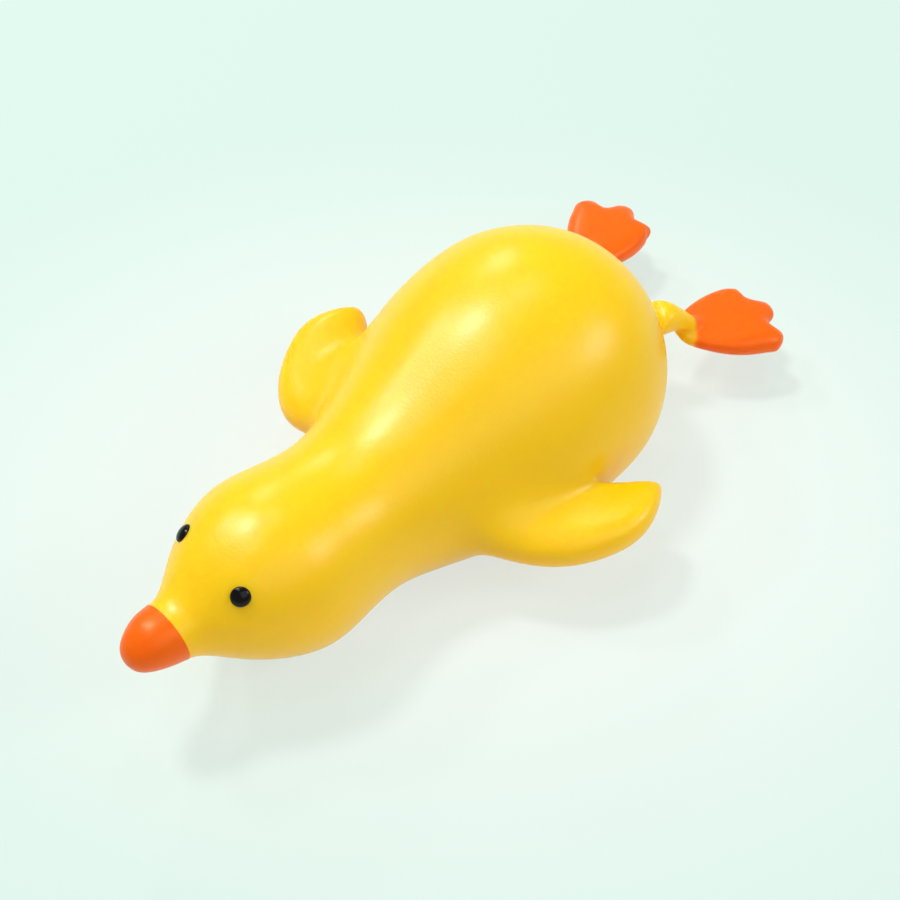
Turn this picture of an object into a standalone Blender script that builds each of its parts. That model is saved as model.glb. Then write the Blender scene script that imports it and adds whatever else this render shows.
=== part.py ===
"""A squishy toy duck that lies on its belly: one soft moulding and two bead eyes set in its head.

Everything is in metres. The duck faces -Y, its left side is +X, and the floor is Z = 0.
It is modelled with its rump at Y = 0, and the last step moves it to the middle of its own box.
The moulding grows from one coarse cage of blocks: a bar is extruded from rump to bill, the wings
and legs are pulled out of its side and end faces, and a webbed foot is bridged on to each leg.
"""

from math import cos, pi, radians, sin
from typing import NamedTuple

import bmesh
import bpy
import numpy as np
from mathutils import Matrix, Vector

MM = 0.001


class Section(NamedTuple):
    """A cross-section of the body, with heights above the floor. A belly is pressed flat on it."""

    at: float  # distance in front of the rump
    width: float
    top: float
    widest: float  # height of the widest point
    bottom: float


# The body, from the rump to the tip of the bill. The main sizes come first, and the named
# sections take their sizes from them
BODY_LENGTH = 118.4 * MM
BODY_WIDTH = 53.8 * MM
BODY_HEIGHT = 44.8 * MM
RUMP_HEIGHT = 0.458 * BODY_HEIGHT


def sized(at, width, top, widest, bottom):
    """A section from its shares of the body's length, width and height."""
    tall = BODY_HEIGHT
    return Section(at * BODY_LENGTH, width * BODY_WIDTH, top * tall, widest * tall, bottom * tall)


BELLY = sized(at=0.220, width=1.000, top=1.000, widest=0.397, bottom=-0.196)
FLANK = sized(at=0.343, width=0.952, top=0.944, widest=0.371, bottom=-0.192)
CHEST = sized(at=0.497, width=0.680, top=0.763, widest=0.355, bottom=-0.134)
NECK = sized(at=0.617, width=0.558, top=0.701, widest=0.362, bottom=0.000)
HEAD = sized(at=0.747, width=0.613, top=0.763, widest=0.393, bottom=0.027)
FACE = sized(at=0.848, width=0.435, top=0.692, widest=0.433, bottom=0.174)
BILL_ROOT = sized(at=0.899, width=0.245, top=0.603, widest=0.460, bottom=0.308)
BILL = sized(at=0.949, width=0.186, top=0.598, widest=0.491, bottom=0.379)
SECTIONS = (BELLY, FLANK, CHEST, NECK, HEAD, FACE, BILL_ROOT, BILL)
RUMP_END_TURN = radians(27)  # how far round the rump's curve its end ring lies
BILL_END_TURN = radians(38)
END_BULGE = 0.35  # how far an end stands out past its ring, as a share of the ring's radius
END_SPREAD = 1.35  # the spread of the four points inside an end ring
RUMP_RINGS = 3
BODY_RINGS = 10
RING_CROWDING = 0.5  # how much closer the rings are at the bill than at the belly

# The wings are flippers that sweep back along the flanks, pulled out in three steps
WING_FIRST_RING = 4  # the wing root spans some rows of faces from this ring
WING_ROWS = 2
WING_SPAN = 81.0 * MM  # across both wings of the cage
WING_LENGTH = 26.0 * MM  # along the body, at the root
WING_AT = (0.415 * BODY_LENGTH, 0.373 * BODY_LENGTH, 0.31 * BODY_LENGTH)  # the middle of each step
WING_CHORD = (WING_LENGTH, 0.923 * WING_LENGTH, 0.48 * WING_LENGTH)
WING_FRONT = (0.299 * WING_SPAN, 0.426 * WING_SPAN, 0.5 * WING_SPAN)  # how far out each front corner is
WING_BACK = (0.349 * WING_SPAN, 0.39 * WING_SPAN, 0.434 * WING_SPAN)
WING_THICKNESS = (11.5 * MM, 10.8 * MM, 8.0 * MM)
WING_EDGE = 0.7  # the front and back corners' share of the thickness
WING_HEIGHT = (13.5 * MM, 14.0 * MM, 15.9 * MM)
WING_BOW = 1.0 * MM  # how far the middle of each step stands out
WING_LEAN = 3.6 * MM  # how far the right wing lies forwards and the left one back

# The legs arch out of the rump and down on to the webbed feet. The places are those of the left leg
ANKLE = (13.9 * MM, 9.8 * MM, 12.2 * MM)
LEG_SHARES = (0.3, 0.85)  # how far each pull reaches from the rump to the ankle
LEG_WIDTHS = (9.6 * MM, 4.0 * MM)
LEG_ARCH = (7.2 * MM, 3.2 * MM)
# How far the right foot lies out and back, and the left one in and forwards
FOOT_LEAN = (1.3 * MM, 1.2 * MM)
LEG_TURNS = (radians(20), radians(60))
FOOT_HEIGHT = 7.8 * MM  # the sole's height above the floor
FOOT_THICKNESS = 5.6 * MM
HEEL_RISE = 3.4 * MM  # how far the sole rises to the heel
FOOT_SPLAY = radians(18)
FOOT_TWIST = radians(3)  # how much more the left foot splays, and less the right one
PALM_LENGTH = 17.8 * MM
PALM_INNER = 8.0 * MM  # how far the palm's inner edge is from the foot's middle line
PALM_OUTER = 10.4 * MM
HEEL_WIDTH = 4.4 * MM
TOE_TIPS = ((-7.4 * MM, 17.2 * MM), (0.6 * MM, 22.9 * MM), (9.4 * MM, 19.7 * MM))  # from the heel
TOE_WIDTH = 6.0 * MM
TOE_TOP = 0.72  # the toe tips taper to these shares of the thickness
TOE_SOLE = 0.12
INNER_FLARE = 1.35  # how soon the heel widens to the palm, on each side
OUTER_FLARE = 1.1
PALM_BOW = 1.2 * MM  # how far the palm's front corners fall back

# The eyes are shiny domed beads, each in a shallow round socket
EYE_AT = 0.838 * BODY_LENGTH
EYE_ROUND = radians(41)  # from the middle of the head's top, round to the side
# How far the left eye lies forwards and up, and the right one back and down
EYE_LEAN = (0.8 * MM, radians(2.5))
EYE_DIAMETER = 3.7 * MM
EYE_DOME = 0.85 * MM
EYE_SKIRT = 0.5 * MM  # the straight side that is sunk in the socket
EYE_SEGMENTS = 32
DOME_STEPS = 8
CLEARANCE = 0.3 * MM
WELD = 0.001 * MM

BLOCKS = 3  # blocks across the bar, each way
SLACK = 0.01  # how near two block corners are to be the same
AIM_STEPS = 8
CAGE_SHRINK = (2 + cos(2 * pi / (4 * BLOCKS))) / 3  # how much smoothing shrinks a ring
SMOOTH_LEVELS = 2

SKIN_YELLOW = (0.96, 0.60, 0.02, 1.0)
SKIN_ROUGHNESS = 0.42
SKIN_GLOW = 0.15
EYE_BLACK = (0.010, 0.010, 0.012, 1.0)
EYE_ROUGHNESS = 0.08


def clear_scene():
    """Removes what the start-up scene holds."""
    for obj in list(bpy.data.objects):
        bpy.data.objects.remove(obj)


def new_collection(name, helpers=False):
    """A collection in the scene. Helpers, such as cutters, are left out of the render."""
    collection = bpy.data.collections.new(name)
    collection.hide_render = helpers
    bpy.context.scene.collection.children.link(collection)
    return collection


def new_object(name, bm, collection, material=None):
    """An object from a bmesh, with its faces turned outwards."""
    bmesh.ops.recalc_face_normals(bm, faces=bm.faces)
    mesh = bpy.data.meshes.new(name)
    bm.to_mesh(mesh)
    bm.free()
    mesh.polygons.foreach_set("use_smooth", [True] * len(mesh.polygons))
    obj = bpy.data.objects.new(name, mesh)
    collection.objects.link(obj)
    if material:
        mesh.materials.append(material)
    return obj


def rubber_material():
    """Satin yellow soft rubber."""
    material = bpy.data.materials.new("soft_yellow_rubber")
    material.use_nodes = True
    shader = material.node_tree.nodes["Principled BSDF"]
    shader.inputs["Base Color"].default_value = SKIN_YELLOW
    shader.inputs["Roughness"].default_value = SKIN_ROUGHNESS
    shader.inputs["Subsurface Weight"].default_value = SKIN_GLOW
    return material


def bead_material():
    """Shiny black plastic."""
    material = bpy.data.materials.new("glossy_black_bead")
    material.use_nodes = True
    shader = material.node_tree.nodes["Principled BSDF"]
    shader.inputs["Base Color"].default_value = EYE_BLACK
    shader.inputs["Roughness"].default_value = EYE_ROUGHNESS
    return material


def spline_sections(places):
    """The sections at these places, on a smooth curve through the named ones that ends level."""
    named = np.array(SECTIONS)
    slopes = np.gradient(named, named[:, 0], axis=0)
    slopes[0, 1:] = 0
    slopes[-1, 1:] = 0
    rings = []
    for place in places:
        first = min(np.searchsorted(named[:, 0], place, side="right"), len(named) - 1) - 1
        gap = named[first + 1, 0] - named[first, 0]
        t = (place - named[first, 0]) / gap
        row = (1 + 2 * t) * (1 - t) ** 2 * named[first] + t * t * (3 - 2 * t) * named[first + 1]
        row += gap * t * (1 - t) * ((1 - t) * slopes[first] - t * slopes[first + 1])
        rings.append(Section(*row))
    return rings


def rounded_end(full, tip, height, turn):
    """A section of the rounded end past a full section, this far round the end's curve."""
    at = full.at + (tip - full.at) * cos(turn)
    middle = height + (full.widest - height) * sin(turn)
    top = middle + (full.top - full.widest) * sin(turn)
    bottom = middle - (full.widest - full.bottom) * sin(turn)
    return Section(at, full.width * sin(turn), top, middle, bottom)


def body_sections():
    """The section that the skin has at each ring of the cage, from rump to bill."""
    rump_turns = np.linspace(RUMP_END_TURN, pi / 2, RUMP_RINGS, endpoint=False)
    rings = [rounded_end(BELLY, 0.0, RUMP_HEIGHT, turn) for turn in rump_turns]
    share = np.linspace(0, 1, BODY_RINGS + 1)
    share += RING_CROWDING * share * (1 - share)
    rings += spline_sections(BELLY.at + (BILL.at - BELLY.at) * share)
    rings.append(rounded_end(BILL, BODY_LENGTH, BILL.widest, BILL_END_TURN))
    return rings


def aim_through(wanted):
    """The cage's values for a smoothed cage to pass through the wanted ones, one row per ring."""
    cage = wanted.copy()
    for _ in range(AIM_STEPS):
        smoothed = (cage[:-2] + 4 * cage[1:-1] + cage[2:]) / 6
        cage[1:-1] += wanted[1:-1] - smoothed
    return cage


def cage_sections():
    """The sections of the cage itself, which is larger than the skin it is smoothed to."""
    return [Section(*row) for row in aim_through(np.array(body_sections()))]


def round_off(across, up):
    """Turns a point of the square from -1 to 1 into one of the unit disc, keeping its ring."""
    ring = max(abs(across), abs(up))
    if abs(across) >= abs(up):
        turn = pi / 4 * up / across
        return Vector((ring * cos(turn), ring * sin(turn))) * (1 if across > 0 else -1)
    turn = pi / 4 * across / up
    return Vector((ring * sin(turn), ring * cos(turn))) * (1 if up > 0 else -1)


def section_point(section, across, up, outward):
    """The cage point of a section. Points inside an end ring stand out past it, rump or bill."""
    disc = round_off(across, up)
    inside = disc.length < 1 - SLACK
    if inside:
        disc *= END_SPREAD
    radius = section.width / 2 / CAGE_SHRINK
    rise = section.top - section.widest if disc.y > 0 else section.widest - section.bottom
    height = section.widest + disc.y * rise / CAGE_SHRINK
    stand_out = outward * END_BULGE * radius if inside else 0.0
    return Vector((disc.x * radius, stand_out - section.at, max(height, 0.0)))


def extrude_bar(bm, rings):
    """A straight square bar of blocks. A block corner's x, y and z are its column, ring and row."""
    made = bmesh.ops.create_grid(bm, x_segments=BLOCKS, y_segments=BLOCKS, size=BLOCKS / 2)
    bmesh.ops.rotate(bm, verts=made["verts"], matrix=Matrix.Rotation(pi / 2, 3, "X"))
    bmesh.ops.translate(bm, verts=made["verts"], vec=(BLOCKS / 2, 0, BLOCKS / 2))
    cap, moved = extrude(bm, list(bm.faces), keep=True)
    for _ in range(rings - 2):
        bmesh.ops.translate(bm, verts=moved, vec=(0, 1, 0))
        cap, moved = extrude(bm, cap)
    bmesh.ops.translate(bm, verts=moved, vec=(0, 1, 0))


def faces_at(bm, low, high):
    """The faces whose corners all lie in this box of the bar."""
    def inside(point):
        return all(a - SLACK < value < b + SLACK for a, value, b in zip(low, point, high))

    return [face for face in bm.faces if all(inside(vert.co) for vert in face.verts)]


def extrude(bm, faces, keep=False):
    """Extrudes the faces as one region, and returns the new faces and their vertices."""
    made = bmesh.ops.extrude_face_region(bm, geom=faces)["geom"]
    caps = [item for item in made if isinstance(item, bmesh.types.BMFace)]
    if not keep:
        bmesh.ops.delete(bm, geom=faces, context="FACES")
    return caps, [item for item in made if isinstance(item, bmesh.types.BMVert)]


def fit_bar(bm, sections):
    """Moves each block corner of the bar to its place on the duck."""
    for vert in bm.verts:
        across = (2 * vert.co.x - BLOCKS) / BLOCKS
        up = (2 * vert.co.z - BLOCKS) / BLOCKS
        ring = round(vert.co.y)
        outward = 1 if ring == 0 else -1
        vert.co = section_point(sections[ring], across, up, outward)


def pull_wing(bm, faces, side):
    """Pulls a flipper out of the flank in three steps. Each step is a flat ring of six corners."""
    for step, at in enumerate(WING_AT):
        faces, verts = extrude(bm, faces)
        ranked = sorted(verts, key=lambda vert: vert.co.y)
        for rank in range(0, len(ranked), 2):
            pair = sorted(ranked[rank : rank + 2], key=lambda vert: vert.co.z)
            along = rank / (len(ranked) - 2) - 0.5
            middle = 0 < rank < len(ranked) - 2
            thickness = WING_THICKNESS[step] * (1.0 if middle else WING_EDGE)
            reach = WING_FRONT[step] + (WING_BACK[step] - WING_FRONT[step]) * (along + 0.5)
            reach += WING_BOW if middle else 0.0
            place = along * WING_CHORD[step] - at + side * WING_LEAN
            for vert, level in zip(pair, (-0.5, 0.5)):
                vert.co = (side * reach, place, WING_HEIGHT[step] + level * thickness)


def ankle(side):
    """The ankle's place, with the feet a little out of step."""
    out, back = FOOT_LEAN
    return Vector(ANKLE) - side * Vector((out, back, 0))


def foot_turn(side):
    """The turn that splays a foot outwards, as for the left one."""
    return Matrix.Rotation(-(FOOT_SPLAY + side * FOOT_TWIST), 4, "Z")


def foot_cage(bm, side):
    """A webbed foot, sole down: a slab of blocks with a toe pulled out of each front face."""
    before = set(bm.verts)
    made = bmesh.ops.create_grid(bm, x_segments=BLOCKS, y_segments=BLOCKS, size=BLOCKS / 2)
    bmesh.ops.translate(bm, verts=made["verts"], vec=(0, BLOCKS / 2, 0))
    sole = list({face for vert in made["verts"] for face in vert.link_faces})
    top, verts = extrude(bm, sole, keep=True)
    bmesh.ops.translate(bm, verts=verts, vec=(0, 0, 1))
    slab = [vert for vert in bm.verts if vert not in before]
    faces = {face for vert in slab for face in vert.link_faces}
    front = [face for face in faces if all(vert.co.y > BLOCKS - 0.5 for vert in face.verts)]
    instep = min(top, key=lambda face: face.calc_center_median().length)
    toes = bmesh.ops.extrude_discrete_faces(bm, faces=front)["faces"]
    shapes = {}
    for vert in slab:
        share = vert.co.y / BLOCKS
        edge, flare = (PALM_OUTER, OUTER_FLARE) if vert.co.x > 0 else (PALM_INNER, INNER_FLARE)
        half = HEEL_WIDTH / 2 + (edge - HEEL_WIDTH / 2) * sin(pi / 2 * min(share * flare, 1))
        across = 2 * vert.co.x / BLOCKS
        bow = 0.0 if abs(across) < 0.5 else -PALM_BOW * share
        height = FOOT_THICKNESS if vert.co.z > 0.5 else HEEL_RISE * (1 - share) ** 2
        shapes[vert] = Vector((across * half, share * PALM_LENGTH + bow, height))
    for toe in toes:
        number = round(toe.calc_center_median().x)
        tip = Vector(TOE_TIPS[number + 1])
        knuckle = Vector((number * (PALM_INNER + PALM_OUTER) / BLOCKS, PALM_LENGTH))
        square = (tip - knuckle).orthogonal().normalized()
        for vert in toe.verts:
            level = TOE_TOP if vert.co.z > 0.5 else TOE_SOLE
            corner = tip - square * (vert.co.x - number) * TOE_WIDTH
            shapes[vert] = Vector((corner.x, corner.y, level * FOOT_THICKNESS))
    spin = foot_turn(side)
    heel = ankle(side) - spin @ Vector((0, PALM_LENGTH / BLOCKS / 2, 0))
    for vert, shape in shapes.items():
        place = spin @ shape + Vector((heel.x, heel.y, FOOT_HEIGHT))
        vert.co = (side * place.x, place.y, place.z)
    return instep


def pull_leg(bm, face, side):
    """Arches a leg out of the rump to above the ankle, and returns its end face."""
    root = face.calc_center_median()
    start = Vector((side * root.x, root.y, root.z))
    faces = [face]
    for share, width, arch, turn in zip(LEG_SHARES, LEG_WIDTHS, LEG_ARCH, LEG_TURNS):
        faces, verts = extrude(bm, faces)
        middle = start.lerp(ankle(side), share) + Vector((0, 0, arch))
        tilt = foot_turn(side) @ Matrix.Rotation(-turn, 4, "X")
        for rank, vert in enumerate(sorted(verts, key=lambda vert: vert.co.z)):
            level = -0.5 if rank < 2 else 0.5
            across = 0.5 if side * (vert.co.x - root.x) > 0 else -0.5
            place = middle + tilt @ Vector((across, 0, level)) * width
            vert.co = (side * place.x, place.y, place.z)
    return faces[0]


def join_leg_to_foot(bm, leg_end, instep):
    """Bridges the open end of the leg to the opening on top of the foot."""
    edges = list(leg_end.edges) + list(instep.edges)
    bmesh.ops.delete(bm, geom=[leg_end, instep], context="FACES_ONLY")
    bmesh.ops.bridge_loops(bm, edges=edges)


def build_body(collection, material):
    """The one-piece moulding: body, head, bill, wings, legs and feet."""
    sections = cage_sections()
    bm = bmesh.new()
    extrude_bar(bm, len(sections))
    last = WING_FIRST_RING + WING_ROWS
    flanks = {
        side: faces_at(bm, (edge, WING_FIRST_RING, 1), (edge, last, 2))
        for side, edge in ((1, BLOCKS), (-1, 0))
    }
    hips = {
        side: faces_at(bm, (edge, 0, 0), (edge + 1, 0, 1))[0]
        for side, edge in ((1, BLOCKS - 1), (-1, 0))
    }
    fit_bar(bm, sections)
    for side in (1, -1):
        pull_wing(bm, flanks[side], side)
        leg_end = pull_leg(bm, hips[side], side)
        instep = foot_cage(bm, side)
        join_leg_to_foot(bm, leg_end, instep)
    obj = new_object("duck_body", bm, collection, material)
    smooth = obj.modifiers.new("smooth_skin", "SUBSURF")
    smooth.levels = SMOOTH_LEVELS
    smooth.render_levels = SMOOTH_LEVELS
    return obj


def eye_seat(body, side):
    """The place and the outward direction of an eye, read from the smoothed head."""
    graph = bpy.context.evaluated_depsgraph_get()
    skin = body.evaluated_get(graph)
    ahead, up = EYE_LEAN
    at = EYE_AT + side * ahead
    turn = EYE_ROUND - side * up
    middle = Vector((0, -at, spline_sections([at])[0].widest))
    outward = Vector((side * sin(turn), 0, cos(turn)))
    found, place, normal, _ = skin.ray_cast(middle, outward)
    if not found:
        raise ValueError("the eye's ray misses the head")
    return Matrix.Translation(place) @ normal.to_track_quat("Z", "Y").to_matrix().to_4x4()


def cut_socket(body, seat, name, cutters):
    """Cuts a round socket a clearance larger than the bead that sits in it."""
    depth = EYE_SKIRT + CLEARANCE
    reach = EYE_DOME + EYE_SKIRT
    bm = bmesh.new()
    bmesh.ops.create_cone(
        bm,
        cap_ends=True,
        segments=EYE_SEGMENTS,
        radius1=EYE_DIAMETER / 2 + CLEARANCE,
        radius2=EYE_DIAMETER / 2 + CLEARANCE,
        depth=depth + reach,
        matrix=seat @ Matrix.Translation((0, 0, (reach - depth) / 2)),
    )
    cutter = new_object(name, bm, cutters)
    cutter.display_type = "WIRE"
    cutter.hide_render = True
    cut = body.modifiers.new(name, "BOOLEAN")
    cut.operation = "DIFFERENCE"
    cut.solver = "EXACT"
    cut.object = cutter


def build_eye(name, seat, collection, material):
    """A domed bead, turned from half its outline, with its skirt sunk in the socket."""
    radius = EYE_DIAMETER / 2
    bm = bmesh.new()
    turns = np.linspace(0, pi / 2, DOME_STEPS + 1)
    dome = [(radius * sin(turn), EYE_DOME * cos(turn)) for turn in turns]
    outline = dome + [(radius, -EYE_SKIRT), (0.0, -EYE_SKIRT)]
    verts = [bm.verts.new((x, 0, z)) for x, z in outline]
    edges = [bm.edges.new(pair) for pair in zip(verts, verts[1:])]
    bmesh.ops.spin(
        bm,
        geom=verts + edges,
        axis=(0, 0, 1),
        cent=(0, 0, 0),
        angle=2 * pi,
        steps=EYE_SEGMENTS,
        use_merge=True,
    )
    bmesh.ops.remove_doubles(bm, verts=bm.verts, dist=WELD)
    bmesh.ops.transform(bm, matrix=seat, verts=bm.verts)
    return new_object(name, bm, collection, material)


def centre_on_floor(objects, body):
    """Moves the duck so that its box is centred over the origin and its base is on the floor."""
    graph = bpy.context.evaluated_depsgraph_get()
    mesh = body.evaluated_get(graph).to_mesh()
    points = np.empty(len(mesh.vertices) * 3, np.float32)
    mesh.vertices.foreach_get("co", points)
    points = points.reshape(-1, 3)
    low, high = points.min(axis=0), points.max(axis=0)
    shift = Vector((-(low[0] + high[0]) / 2, -(low[1] + high[1]) / 2, -low[2]))
    for obj in objects:
        obj.location = shift


def main():
    """Builds the duck, cuts the sockets for its eyes and centres it."""
    clear_scene()
    duck = new_collection("squishy_duck")
    cutters = new_collection("cutters", helpers=True)
    body = build_body(duck, rubber_material())
    bead = bead_material()
    seats = {"left_eye": eye_seat(body, 1), "right_eye": eye_seat(body, -1)}
    for name, seat in seats.items():
        build_eye(name, seat, duck, bead)
        cut_socket(body, seat, name + "_socket", cutters)
    centre_on_floor(list(duck.objects) + list(cutters.objects), body)


if __name__ == "__main__":
    main()
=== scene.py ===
"""Dresses the squishy duck for its studio picture.

The duck is one soft rubber moulding, yellow all over, with its bill and feet painted
orange, and it has two glossy black beads for eyes. Its finer skin, its eyes and their
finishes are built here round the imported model, which gives every shape and place.
Lengths are in metres, with Z up and the bill towards -Y.
"""

from __future__ import annotations

import logging
import math
from dataclasses import dataclass
from enum import Enum

import bmesh
import bpy
import numpy as np
from mathutils import Matrix, Vector


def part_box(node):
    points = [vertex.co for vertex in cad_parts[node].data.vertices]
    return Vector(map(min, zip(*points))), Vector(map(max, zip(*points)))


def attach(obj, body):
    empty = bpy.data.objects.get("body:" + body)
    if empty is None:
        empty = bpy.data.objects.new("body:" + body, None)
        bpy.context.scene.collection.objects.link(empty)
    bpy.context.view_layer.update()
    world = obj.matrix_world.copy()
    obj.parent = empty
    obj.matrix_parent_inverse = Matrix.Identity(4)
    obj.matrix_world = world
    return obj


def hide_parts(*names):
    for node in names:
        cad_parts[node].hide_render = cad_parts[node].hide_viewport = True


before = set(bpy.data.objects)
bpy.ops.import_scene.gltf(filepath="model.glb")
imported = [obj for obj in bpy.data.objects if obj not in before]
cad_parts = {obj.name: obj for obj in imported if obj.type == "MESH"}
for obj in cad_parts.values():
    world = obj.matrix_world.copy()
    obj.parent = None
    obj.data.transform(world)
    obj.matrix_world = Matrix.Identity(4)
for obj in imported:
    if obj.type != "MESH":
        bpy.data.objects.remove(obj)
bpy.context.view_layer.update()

log = logging.getLogger("squishy_duck")

MM = 0.001
WELD = 0.001 * MM
CUBIC = 3
PAINT_MASK = "paint"

Colour = tuple[float, float, float, float]


class Side(Enum):
    """A side of the duck, as the duck itself sees it."""

    LEFT = "left"
    RIGHT = "right"


def linear(hex_colour: str) -> Colour:
    """Turns an sRGB colour into the linear one that a shader takes.

    Args:
        hex_colour: Six hex digits after a #.

    Returns:
        Red, green, blue and an alpha of 1.
    """
    shares = [int(hex_colour[i : i + 2], 16) / 255 for i in (1, 3, 5)]
    red, green, blue = (
        share / 12.92 if share <= 0.04045 else ((share + 0.055) / 1.055) ** 2.4
        for share in shares
    )
    return (red, green, blue, 1.0)


def per_feature(size_mm: float) -> float:
    """Gives the texture scale at which one feature is this many millimetres wide."""
    return 1 / (size_mm * MM)


def add_node(
    tree: bpy.types.NodeTree, kind: str, inputs: dict | None = None, **settings
) -> bpy.types.Node:
    """Adds a node, with its settings, its values and its links.

    Args:
        tree: The node tree that it goes into.
        kind: The node's type in Blender.
        inputs: Each input's name or number, and its value or the socket that feeds it.
        **settings: The node's own properties.

    Returns:
        The new node.
    """
    node = tree.nodes.new(kind)
    for name, value in settings.items():
        setattr(node, name, value)
    for name, value in (inputs or {}).items():
        if isinstance(value, bpy.types.NodeSocket):
            tree.links.new(value, node.inputs[name])
        else:
            node.inputs[name].default_value = value
    return node


def new_material(name: str) -> tuple[bpy.types.Material, bpy.types.NodeTree]:
    """Makes a material with an empty node tree.

    Args:
        name: What the real material is.

    Returns:
        The material and its tree.
    """
    material = bpy.data.materials.new(name)
    material.use_nodes = True
    material.node_tree.nodes.clear()
    return material, material.node_tree


def pick_only(piece: bpy.types.Object) -> None:
    """Leaves this piece as the only one selected, and the active one."""
    bpy.ops.object.select_all(action="DESELECT")
    piece.select_set(True)
    bpy.context.view_layer.objects.active = piece


def quad_copy(node: str, name: str) -> bpy.types.Object:
    """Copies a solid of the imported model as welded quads.

    Args:
        node: The solid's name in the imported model.
        name: The new piece's name.

    Returns:
        The new piece, which stands for the solid.
    """
    piece = bpy.data.objects.new(name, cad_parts[node].data.copy())
    bpy.context.scene.collection.objects.link(piece)
    piece.data.materials.clear()
    pick_only(piece)
    bpy.ops.object.mode_set(mode="EDIT")
    bpy.ops.mesh.select_all(action="SELECT")
    bpy.ops.mesh.remove_doubles(threshold=WELD)
    bpy.ops.mesh.customdata_custom_splitnormals_clear()
    bpy.ops.mesh.tris_convert_to_quads()
    bpy.ops.object.mode_set(mode="OBJECT")
    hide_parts(node)
    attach(piece, "root")
    return piece


def refine(piece: bpy.types.Object, levels: int) -> None:
    """Rounds a piece's facets away.

    Args:
        piece: The piece.
        levels: How many times each face is split in four.
    """
    pick_only(piece)
    finer = piece.modifiers.new("finer", "SUBSURF")
    finer.levels = levels
    finer.render_levels = levels
    bpy.ops.object.modifier_apply(modifier=finer.name)
    bpy.ops.object.shade_smooth()


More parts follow.
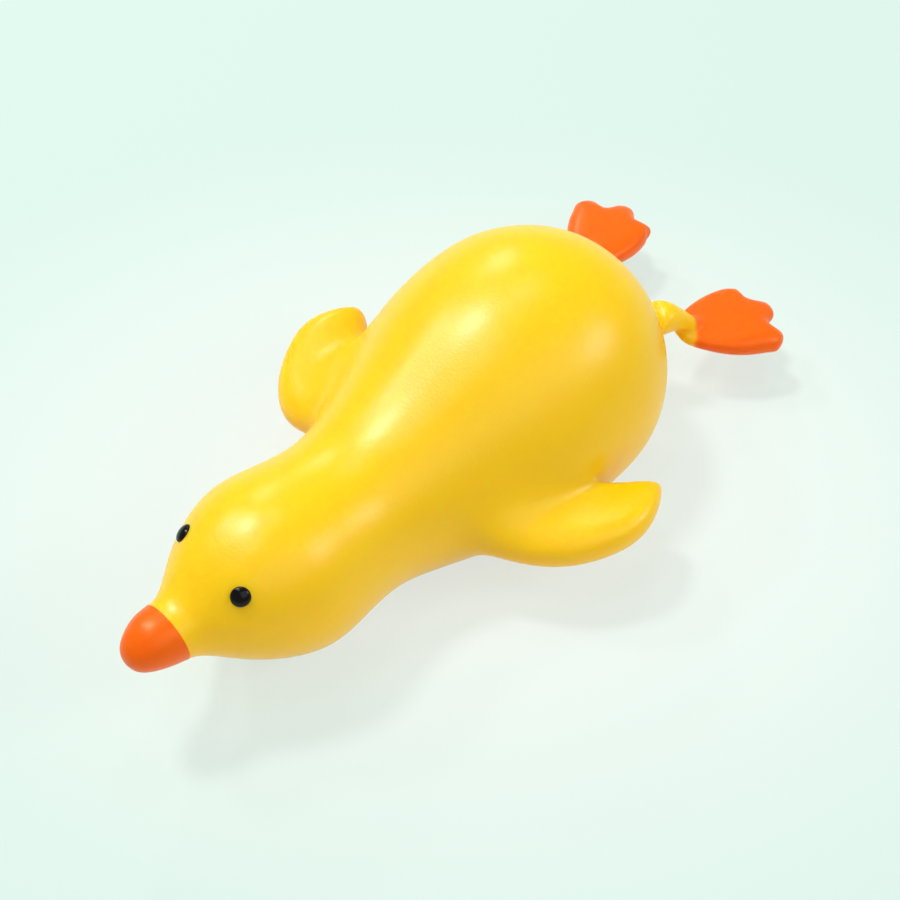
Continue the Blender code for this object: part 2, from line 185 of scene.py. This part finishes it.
@dataclass(frozen=True)
class PaintedRubber:
    """Solid thermoplastic rubber, moulded, with orange paint where the mask says.

    The eye sees saturated, slightly see-through yellow, with wide soft highlights that
    a fine moulded grain breaks up. The paint has a broad golden sheen.

    Attributes:
        name: What the real material is.
        yellow: The rubber where it is deepest.
        yellow_pale: The rubber where it is palest.
        orange: The paint where it is palest.
        orange_deep: The paint where it is deepest.
        paint_sheen: The colour of the paint's gloss.
        rubber_roughness: How matt the rubber is, from 0 to 1.
        paint_roughness: How matt the paint is, from 0 to 1.
        mottle: How much more matt the grain's high places are.
        ior: How strongly the surface reflects, as an index of refraction.
        cloud_mm: The width of one cloud of paler colour.
        cloud_detail: How many finer layers the clouds have.
        grain_mm: The width of one grain of the mould's texture.
        grain_detail: How many finer layers the grain has.
        grain_depth_mm: How deep the grain is.
        glow_mm: How far light goes in the rubber.
        glow_share: How far red, green and blue go, as shares of that.
        glow_weight: How much of the light goes in at all.
    """

    name: str = "soft_thermoplastic_rubber"
    yellow: str = "#FCC906"
    yellow_pale: str = "#FCCC08"
    orange: str = "#F26C04"
    orange_deep: str = "#EE6402"
    paint_sheen: str = "#FFE8BC"
    rubber_roughness: float = 0.29
    paint_roughness: float = 0.30
    mottle: float = 0.08
    ior: float = 1.44
    cloud_mm: float = 14.0
    cloud_detail: float = 2.0
    grain_mm: float = 0.5
    grain_detail: float = 3.0
    grain_depth_mm: float = 0.03
    glow_mm: float = 3.2
    glow_share: tuple[float, float, float] = (1.0, 0.42, 0.08)
    glow_weight: float = 0.65

    def make(self) -> bpy.types.Material:
        """Builds the material.

        Returns:
            The rubber, with the paint mixed in by the piece's own attribute.
        """
        material, tree = new_material(self.name)
        place = add_node(tree, "ShaderNodeTexCoord").outputs["Object"]
        mask = add_node(tree, "ShaderNodeAttribute", attribute_name=PAINT_MASK)
        cloud = add_node(
            tree,
            "ShaderNodeTexNoise",
            {
                "Vector": place,
                "Scale": per_feature(self.cloud_mm),
                "Detail": self.cloud_detail,
            },
        )
        grain = add_node(
            tree,
            "ShaderNodeTexNoise",
            {
                "Vector": place,
                "Scale": per_feature(self.grain_mm),
                "Detail": self.grain_detail,
            },
        )
        rubber = self._blend(tree, cloud.outputs["Fac"], self.yellow, self.yellow_pale)
        paint = self._blend(tree, cloud.outputs["Fac"], self.orange_deep, self.orange)
        colour = add_node(
            tree,
            "ShaderNodeMix",
            {"Factor": mask.outputs["Fac"], "A": rubber, "B": paint},
            data_type="RGBA",
        )
        sheen = add_node(
            tree,
            "ShaderNodeMix",
            {
                "Factor": mask.outputs["Fac"],
                "A": linear("#FFFFFF"),
                "B": linear(self.paint_sheen),
            },
            data_type="RGBA",
        )
        roughness = add_node(
            tree,
            "ShaderNodeMapRange",
            {
                "Value": mask.outputs["Fac"],
                "To Min": self.rubber_roughness,
                "To Max": self.paint_roughness,
            },
        )
        matt = add_node(
            tree,
            "ShaderNodeMath",
            {
                0: grain.outputs["Fac"],
                1: self.mottle,
                2: roughness.outputs["Result"],
            },
            operation="MULTIPLY_ADD",
        )
        bump = add_node(
            tree,
            "ShaderNodeBump",
            {
                "Height": grain.outputs["Fac"],
                "Strength": 1.0,
                "Distance": self.grain_depth_mm * MM,
            },
        )
        shader = add_node(
            tree,
            "ShaderNodeBsdfPrincipled",
            {
                "Base Color": colour.outputs["Result"],
                "Roughness": matt.outputs["Value"],
                "IOR": self.ior,
                "Specular Tint": sheen.outputs["Result"],
                "Subsurface Weight": self.glow_weight,
                "Subsurface Radius": self.glow_share,
                "Subsurface Scale": self.glow_mm * MM,
                "Normal": bump.outputs["Normal"],
            },
        )
        add_node(
            tree, "ShaderNodeOutputMaterial", {"Surface": shader.outputs["BSDF"]}
        )
        return material

    @staticmethod
    def _blend(
        tree: bpy.types.NodeTree, share: bpy.types.NodeSocket, low: str, high: str
    ) -> bpy.types.NodeSocket:
        """Mixes two close colours by a share.

        Args:
            tree: The node tree.
            share: From 0, all low, to 1, all high.
            low: The first colour.
            high: The second colour.

        Returns:
            The socket that gives the mixed colour.
        """
        mixed = add_node(
            tree,
            "ShaderNodeMix",
            {"Factor": share, "A": linear(low), "B": linear(high)},
            data_type="RGBA",
        )
        return mixed.outputs["Result"]


@dataclass(frozen=True)
class BeadPlastic:
    """Black acrylic, polished.

    The eye sees small sharp reflections of the lamps over a deep dark body.

    Attributes:
        name: What the real material is.
        black: The plastic where it is darkest.
        brown: The plastic where it is palest.
        roughness: How matt it is, from 0 to 1.
        haze: How much more matt it is where it is palest.
        ior: How strongly the surface reflects, as an index of refraction.
        cloud_mm: The width of one cloud of paler colour.
        cloud_detail: How many finer layers the clouds have.
    """

    name: str = "polished_black_acrylic"
    black: str = "#060506"
    brown: str = "#0E0A0A"
    roughness: float = 0.12
    haze: float = 0.06
    ior: float = 1.32
    cloud_mm: float = 0.9
    cloud_detail: float = 2.0

    def make(self) -> bpy.types.Material:
        """Builds the material.

        Returns:
            The polished black plastic.
        """
        material, tree = new_material(self.name)
        place = add_node(tree, "ShaderNodeTexCoord").outputs["Object"]
        cloud = add_node(
            tree,
            "ShaderNodeTexNoise",
            {
                "Vector": place,
                "Scale": per_feature(self.cloud_mm),
                "Detail": self.cloud_detail,
            },
        )
        colour = add_node(
            tree,
            "ShaderNodeMix",
            {
                "Factor": cloud.outputs["Fac"],
                "A": linear(self.black),
                "B": linear(self.brown),
            },
            data_type="RGBA",
        )
        matt = add_node(
            tree,
            "ShaderNodeMath",
            {0: cloud.outputs["Fac"], 1: self.haze, 2: self.roughness},
            operation="MULTIPLY_ADD",
        )
        shader = add_node(
            tree,
            "ShaderNodeBsdfPrincipled",
            {
                "Base Color": colour.outputs["Result"],
                "Roughness": matt.outputs["Value"],
                "IOR": self.ior,
            },
        )
        add_node(
            tree, "ShaderNodeOutputMaterial", {"Surface": shader.outputs["BSDF"]}
        )
        return material


def eye_middle(side: Side) -> Vector:
    """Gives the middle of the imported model's eye on this side."""
    low, high = (Vector(corner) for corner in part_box(f"{side.value}_eye"))
    return (low + high) / 2


@dataclass(frozen=True)
class Ankle:
    """The place where one leg's yellow runs out on the heel and the paint starts.

    Attributes:
        place: The middle of the ankle.
        splay: The angle by which the foot turns outwards.
        side: The side of the duck that it is on.
        reach: How far the yellow runs past the middle, along the foot.
        fade: The length over which the paint fades in.
        tongue_curve: How sharply the yellow's edge curves back at its sides.
        tongue_depth: The most that it curves back.
    """

    place: Vector
    splay: float
    side: Side
    reach: float = 0.7 * MM
    fade: float = 1.2 * MM
    tongue_curve: float = 0.1 / MM
    tongue_depth: float = 1.5 * MM

    def paint(self, place: Vector) -> float:
        """Gives the share of paint at a place, which fades in past the yellow.

        Args:
            place: The place on the skin.

        Returns:
            From 0, all rubber, to 1, all paint.
        """
        out = 1 if self.side is Side.LEFT else -1
        away = place - self.place
        across = out * away.x * math.cos(self.splay) - away.y * math.sin(self.splay)
        ahead = out * away.x * math.sin(self.splay) + away.y * math.cos(self.splay)
        back = min(self.tongue_curve * across**2, self.tongue_depth)
        past = ahead + back - self.reach
        share = min(max(past / self.fade + 0.5, 0.0), 1.0)
        return share * share * (3 - 2 * share)


@dataclass
class DuckSkin:
    """The rubber moulding, with its painted bill and feet.

    Attributes:
        finish: The painted rubber.
        levels: How many times each face is split in four.
        bill_line: Where the bill's paint ends, along the duck.
        paint_lip: How thick the bill's paint is.
        lip_angle: The turn between two faces that makes the paint's edge sharp.
        mask_margin: How far past the bill's line a face may reach and still be paint.
        socket_reach: How far from the middle of an eye the skin is drawn anew.
        socket_round: How far from there the skin is evened out.
        ankles: The left ankle and the right one.
    """

    finish: PaintedRubber
    levels: int = 1
    bill_line: float = -65.76 * MM
    paint_lip: float = 0.10 * MM
    lip_angle: float = math.radians(35)
    mask_margin: float = 0.01 * MM
    socket_reach: float = 3.5 * MM
    socket_round: float = 5.6 * MM
    ankles: tuple[Ankle, ...] = (
        Ankle(Vector((12.6, 52.7, 12.2)) * MM, math.radians(21), Side.LEFT),
        Ankle(Vector((-15.2, 55.1, 12.2)) * MM, math.radians(15), Side.RIGHT),
    )

    def build(self) -> bpy.types.Object:
        """Builds and dresses the skin.

        Returns:
            The finished piece.
        """
        skin = quad_copy("duck_body", "duck_skin")
        for side in Side:
            self._close_socket(skin, eye_middle(side))
        refine(skin, self.levels)
        for side in Side:
            self._even_out(skin, eye_middle(side))
        self._raise_bill_paint(skin)
        self._mask_paint(skin)
        skin.data.materials.append(self.finish.make())
        return skin

    def _close_socket(self, skin: bpy.types.Object, middle: Vector) -> None:
        """Draws the skin over an eye's socket, so that it meets the bead all round.

        Args:
            skin: The skin, before it is rounded.
            middle: The middle of the eye.
        """
        pick_only(skin)
        bpy.ops.object.mode_set(mode="EDIT")
        bpy.ops.mesh.select_mode(type="VERT")
        bpy.ops.mesh.select_all(action="DESELECT")
        mesh = bmesh.from_edit_mesh(skin.data)
        for vert in mesh.verts:
            vert.select_set((vert.co - middle).length < self.socket_reach)
        mesh.select_flush_mode()
        bmesh.update_edit_mesh(skin.data)
        bpy.ops.mesh.delete(type="VERT")
        bpy.ops.mesh.select_non_manifold(
            extend=False, use_wire=False, use_multi_face=False, use_non_contiguous=False
        )
        bpy.ops.mesh.fill_grid()
        bpy.ops.object.mode_set(mode="OBJECT")

    def _even_out(self, skin: bpy.types.Object, middle: Vector) -> None:
        """Lays the new skin at an eye on a smooth surface that fits the skin round it.

        Args:
            skin: The skin, once it is rounded.
            middle: The middle of the eye.
        """
        near = [
            vert
            for vert in skin.data.vertices
            if (vert.co - middle).length < self.socket_round
        ]
        facing = sum((vert.normal for vert in near), Vector())
        turn = facing.to_track_quat("Z", "Y")
        places = np.array([turn.inverted() @ (vert.co - middle) for vert in near])
        across, along, height = places.T / self.socket_round
        powers = [(i, j) for i in range(CUBIC + 1) for j in range(CUBIC + 1 - i)]
        terms = np.stack([across**i * along**j for i, j in powers], axis=1)
        away = np.hypot(across, along) * self.socket_round
        outside = away > self.socket_reach
        fitted, *_ = np.linalg.lstsq(terms[outside], height[outside], rcond=None)
        share = 1 - (away - self.socket_reach) / (self.socket_round - self.socket_reach)
        rise = (terms @ fitted - height) * np.clip(share, 0, 1) * self.socket_round
        log.info("skin at an eye moved by up to %.2f mm", np.abs(rise).max() / MM)
        for vert, lift in zip(near, rise):
            vert.co += turn @ Vector((0, 0, lift))

    def _raise_bill_paint(self, skin: bpy.types.Object) -> None:
        """Cuts the skin along the bill's paint line and raises the coat there."""
        pick_only(skin)
        bpy.ops.object.mode_set(mode="EDIT")
        bpy.ops.mesh.select_all(action="SELECT")
        bpy.ops.mesh.bisect(plane_co=(0, self.bill_line, 0), plane_no=(0, 1, 0))
        bpy.ops.mesh.select_all(action="DESELECT")
        bpy.ops.mesh.select_mode(type="FACE")
        mesh = bmesh.from_edit_mesh(skin.data)
        for face in mesh.faces:
            face.select_set(face.calc_center_median().y < self.bill_line)
        bmesh.update_edit_mesh(skin.data)
        bpy.ops.mesh.extrude_region_shrink_fatten(
            TRANSFORM_OT_shrink_fatten={"value": self.paint_lip}
        )
        bpy.ops.object.mode_set(mode="OBJECT")
        bpy.ops.object.shade_smooth_by_angle(angle=self.lip_angle)

    def _mask_paint(self, skin: bpy.types.Object) -> None:
        """Writes the attribute that says where the paint is, from 0 to 1."""
        mask = skin.data.attributes.new(PAINT_MASK, "FLOAT", "CORNER")
        edge = self.bill_line + self.mask_margin
        for face in skin.data.polygons:
            on_bill = face.center.y < edge
            for corner in face.loop_indices:
                place = skin.data.vertices[skin.data.loops[corner].vertex_index].co
                mask.data[corner].value = 1.0 if on_bill else self._foot_paint(place)

    def _foot_paint(self, place: Vector) -> float:
        """Gives the share of foot paint at a place, from the ankle on its side."""
        left, right = self.ankles
        return (left if place.x > 0 else right).paint(place)


@dataclass
class BeadEye:
    """A domed bead set into one side of the head.

    Attributes:
        side: The side of the head.
        levels: How many times each face is split in four.
        shrink: The dressed bead's size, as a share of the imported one's.
    """

    side: Side
    levels: int = 1
    shrink: float = 0.91

    def build(self, material: bpy.types.Material) -> bpy.types.Object:
        """Builds and dresses the bead.

        Args:
            material: The finish, made once for both eyes.

        Returns:
            The finished piece.
        """
        node = f"{self.side.value}_eye"
        bead = quad_copy(node, f"{node}_bead")
        refine(bead, self.levels)
        bpy.ops.object.mode_set(mode="EDIT")
        bpy.ops.mesh.select_all(action="SELECT")
        bpy.ops.transform.resize(
            value=(self.shrink,) * 3, center_override=eye_middle(self.side)
        )
        bpy.ops.object.mode_set(mode="OBJECT")
        bead.data.materials.append(material)
        return bead


@dataclass(frozen=True)
class StudioFloor:
    """A wide pale floor that keeps the duck's soft shadow, with a painted pool of light
    under the duck.

    Attributes:
        half_width: How far it goes from the middle.
        drop: How far it lies below the duck.
        middle: Its colour under the duck, as the camera sees it, paler there as a
            painted pool of light.
        edge: Its colour away from the duck, outside the painted pool of light.
        bounce: The colour of the light that it throws on the duck.
        lit_share: The share of what is seen that the lamps light.
        light: How much light falls on it, where 1 shows a colour as written.
        reach: How far from the middle the painted pool of light reaches the edge's
            colour.
        turn: The camera's angle round the duck.
        foreshortening: How much flatter the camera sees the floor than it is.
    """

    half_width: float = 4.0
    drop: float = 0.05 * MM
    middle: str = "#F8FEFA"
    edge: str = "#E0F6ED"
    bounce: str = "#F2E6C6"
    lit_share: float = 0.32
    light: float = 1.27
    reach: float = 0.155
    turn: float = math.radians(44.4)
    foreshortening: float = 0.77

    def build(self) -> bpy.types.Object:
        """Builds the floor.

        Returns:
            The floor.
        """
        bpy.ops.object.select_all(action="DESELECT")
        bpy.ops.mesh.primitive_plane_add(
            size=2 * self.half_width, location=(0, 0, -self.drop)
        )
        floor = bpy.context.object
        floor.name = "studio_floor"
        floor.data.materials.append(self._card())
        return floor

    def _card(self) -> bpy.types.Material:
        """Builds the card, partly lit from within to the eye, paler in the middle as a
        painted pool of light, with a warm bounce.

        Returns:
            The matt pale card.
        """
        material, tree = new_material("matt_pale_card_painted_light_pool")
        place = add_node(tree, "ShaderNodeTexCoord").outputs["Object"]
        seen_place = add_node(
            tree,
            "ShaderNodeMapping",
            {
                "Vector": place,
                "Rotation": (0, 0, self.turn),
                "Scale": (1, self.foreshortening, 1),
            },
            vector_type="TEXTURE",
        )
        away = add_node(
            tree,
            "ShaderNodeVectorMath",
            {0: seen_place.outputs["Vector"]},
            operation="LENGTH",
        )
        reach = add_node(
            tree,
            "ShaderNodeMapRange",
            {"Value": away.outputs["Value"], "From Max": self.reach},
            interpolation_type="SMOOTHSTEP",
        )
        # Painted pool of light: the seen colour is palest under the duck and fades to
        # the edge's colour.
        colour = add_node(
            tree,
            "ShaderNodeMix",
            {
                "Factor": reach.outputs["Result"],
                "A": linear(self.middle),
                "B": linear(self.edge),
            },
            data_type="RGBA",
        ).outputs["Result"]
        seen = seen_directly(tree)
        albedo = add_node(
            tree,
            "ShaderNodeVectorMath",
            {0: colour, 3: 1 / self.light},
            operation="SCALE",
        )
        card = add_node(
            tree,
            "ShaderNodeMix",
            {
                "Factor": seen,
                "A": linear(self.bounce),
                "B": albedo.outputs["Vector"],
            },
            data_type="RGBA",
        )
        lit = add_node(tree, "ShaderNodeBsdfDiffuse", {"Color": card.outputs["Result"]})
        glow = add_node(tree, "ShaderNodeEmission", {"Color": colour, "Strength": 1.0})
        share = add_node(
            tree,
            "ShaderNodeMath",
            {0: seen, 1: 1 - self.lit_share},
            operation="MULTIPLY",
        )
        mixed = add_node(
            tree,
            "ShaderNodeMixShader",
            {
                0: share.outputs["Value"],
                1: lit.outputs["BSDF"],
                2: glow.outputs["Emission"],
            },
        )
        add_node(
            tree, "ShaderNodeOutputMaterial", {"Surface": mixed.outputs["Shader"]}
        )
        return material


def seen_directly(tree: bpy.types.NodeTree) -> bpy.types.NodeSocket:
    """Gives 1 for what the camera sees, straight or in gloss or glass, and 0 for light.

    Args:
        tree: The node tree.

    Returns:
        The socket that gives it.
    """
    path = add_node(tree, "ShaderNodeLightPath")
    shiny = add_node(
        tree,
        "ShaderNodeMath",
        {0: path.outputs["Is Glossy Ray"], 1: path.outputs["Is Transmission Ray"]},
        operation="ADD",
    )
    seen = add_node(
        tree,
        "ShaderNodeMath",
        {0: path.outputs["Is Camera Ray"], 1: shiny.outputs["Value"]},
        operation="ADD",
        use_clamp=True,
    )
    return seen.outputs["Value"]


@dataclass(frozen=True)
class SoftBox:
    """A soft studio lamp that points at the duck.

    Attributes:
        name: The lamp's name.
        azimuth: Degrees round from the duck's front towards its left.
        elevation: Degrees above the floor.
        distance: How far from the target it hangs.
        width: Its width.
        height: Its height.
        radiance: How bright it looks, where 1 is white.
    """

    name: str
    azimuth: float
    elevation: float
    distance: float
    width: float
    height: float
    radiance: float

    def build(self, target: Vector) -> bpy.types.Object:
        """Hangs the lamp.

        Args:
            target: The place that it points at.

        Returns:
            The lamp.
        """
        away = direction(self.azimuth, self.elevation)
        lamp = bpy.data.lights.new(self.name, "AREA")
        lamp.shape = "RECTANGLE"
        lamp.size = self.width
        lamp.size_y = self.height
        lamp.energy = self.radiance * math.pi * self.width * self.height
        box = bpy.data.objects.new(self.name, lamp)
        bpy.context.scene.collection.objects.link(box)
        box.matrix_world = looking(target + away * self.distance, away)
        return box


def direction(azimuth: float, elevation: float) -> Vector:
    """Gives the unit direction at these angles.

    Args:
        azimuth: Degrees round from the duck's front towards its left.
        elevation: Degrees above the floor.

    Returns:
        The direction, from the duck outwards.
    """
    round_, up = math.radians(azimuth), math.radians(elevation)
    flat = math.cos(up)
    return Vector((math.sin(round_) * flat, -math.cos(round_) * flat, math.sin(up)))


def looking(place: Vector, back: Vector) -> Matrix:
    """Gives the pose of a lamp or camera.

    Args:
        place: Where it is.
        back: The direction that its back faces.

    Returns:
        Its matrix in the world.
    """
    turn = back.to_track_quat("Z", "Y").to_matrix()
    return Matrix.Translation(place) @ turn.to_4x4()


# One lamp for each highlight that the rubber and the beads show, and a broad fill.
LAMPS = (
    SoftBox("key_softbox", -82, 64, 0.9, 0.14, 0.14, 66.0),
    SoftBox("head_softbox", -79, 45, 0.9, 0.10, 0.10, 42.0),
    SoftBox("top_softbox", -20, 76, 0.9, 0.20, 0.20, 6.5),
    SoftBox("back_softbox", -144, 65, 0.9, 0.13, 0.13, 11.0),
    SoftBox("rear_softbox", 131, 34, 0.9, 0.28, 0.20, 10.0),
    SoftBox("fill_softbox", 84, 46, 1.2, 1.10, 0.80, 1.0),
    SoftBox("catch_light", -124, 33, 0.9, 0.08, 0.08, 40.0),
)


@dataclass(frozen=True)
class Studio:
    """The lamps, the pale surround and the camera.

    Attributes:
        lamps: The lamps.
        target: What the camera and the lamps point at.
        azimuth: Degrees from the duck's front towards its left, for the camera.
        elevation: Degrees above the floor, for the camera.
        distance: How far the camera is from the target.
        lens_mm: The focal length.
        sensor_mm: The width of the picture behind the lens.
        clip_start: The nearest that the camera sees.
        surround: The colour of the light from all round.
        light_level: How bright that is at the floor's level.
        light_overhead: How bright it is overhead.
    """

    lamps: tuple[SoftBox, ...] = LAMPS
    target: Vector = Vector((4.935, -6.867, 20.0)) * MM
    azimuth: float = 44.404
    elevation: float = 50.486
    distance: float = 250 * MM
    lens_mm: float = 56.56
    sensor_mm: float = 36.0
    clip_start: float = 5 * MM
    surround: str = "#F0F8F2"
    light_level: float = 0.37
    light_overhead: float = 0.32

    def build(self) -> None:
        """Sets up the picture."""
        scene = bpy.context.scene
        scene.view_settings.view_transform = "Standard"
        StudioFloor().build()
        for lamp in self.lamps:
            lamp.build(self.target)
        self._surround()
        self._camera()

    def _surround(self) -> None:
        """Lights the duck from a pale surround, brightest at the level of the floor."""
        world = bpy.data.worlds.new("pale_surround")
        bpy.context.scene.world = world
        world.use_nodes = True
        tree = world.node_tree
        tree.nodes.clear()
        away = add_node(tree, "ShaderNodeTexCoord").outputs["Generated"]
        height = add_node(tree, "ShaderNodeSeparateXYZ", {"Vector": away})
        strength = add_node(
            tree,
            "ShaderNodeMapRange",
            {
                "Value": height.outputs["Z"],
                "To Min": self.light_level,
                "To Max": self.light_overhead,
            },
            interpolation_type="SMOOTHSTEP",
        )
        sky = add_node(
            tree,
            "ShaderNodeBackground",
            {"Color": linear(self.surround), "Strength": strength.outputs["Result"]},
        )
        add_node(
            tree, "ShaderNodeOutputWorld", {"Surface": sky.outputs["Background"]}
        )

    def _camera(self) -> None:
        """Sets the camera where the photograph was taken from."""
        back = direction(self.azimuth, self.elevation)
        lens = bpy.data.cameras.new("camera")
        lens.sensor_width = self.sensor_mm
        lens.lens = self.lens_mm
        lens.clip_start = self.clip_start
        camera = bpy.data.objects.new("camera", lens)
        bpy.context.scene.collection.objects.link(camera)
        camera.matrix_world = looking(self.target + back * self.distance, back)
        bpy.context.scene.camera = camera


def report(piece: bpy.types.Object) -> None:
    """Logs what a finished piece is made of."""
    log.info("%s: %d faces", piece.name, len(piece.data.polygons))


def main() -> None:
    """Builds the duck and its studio, piece by piece."""
    logging.basicConfig(level=logging.INFO, format="%(name)s: %(message)s")
    report(DuckSkin(PaintedRubber()).build())
    black = BeadPlastic().make()
    for side in Side:
        report(BeadEye(side).build(black))
    Studio().build()


if __name__ == "__main__":
    main()
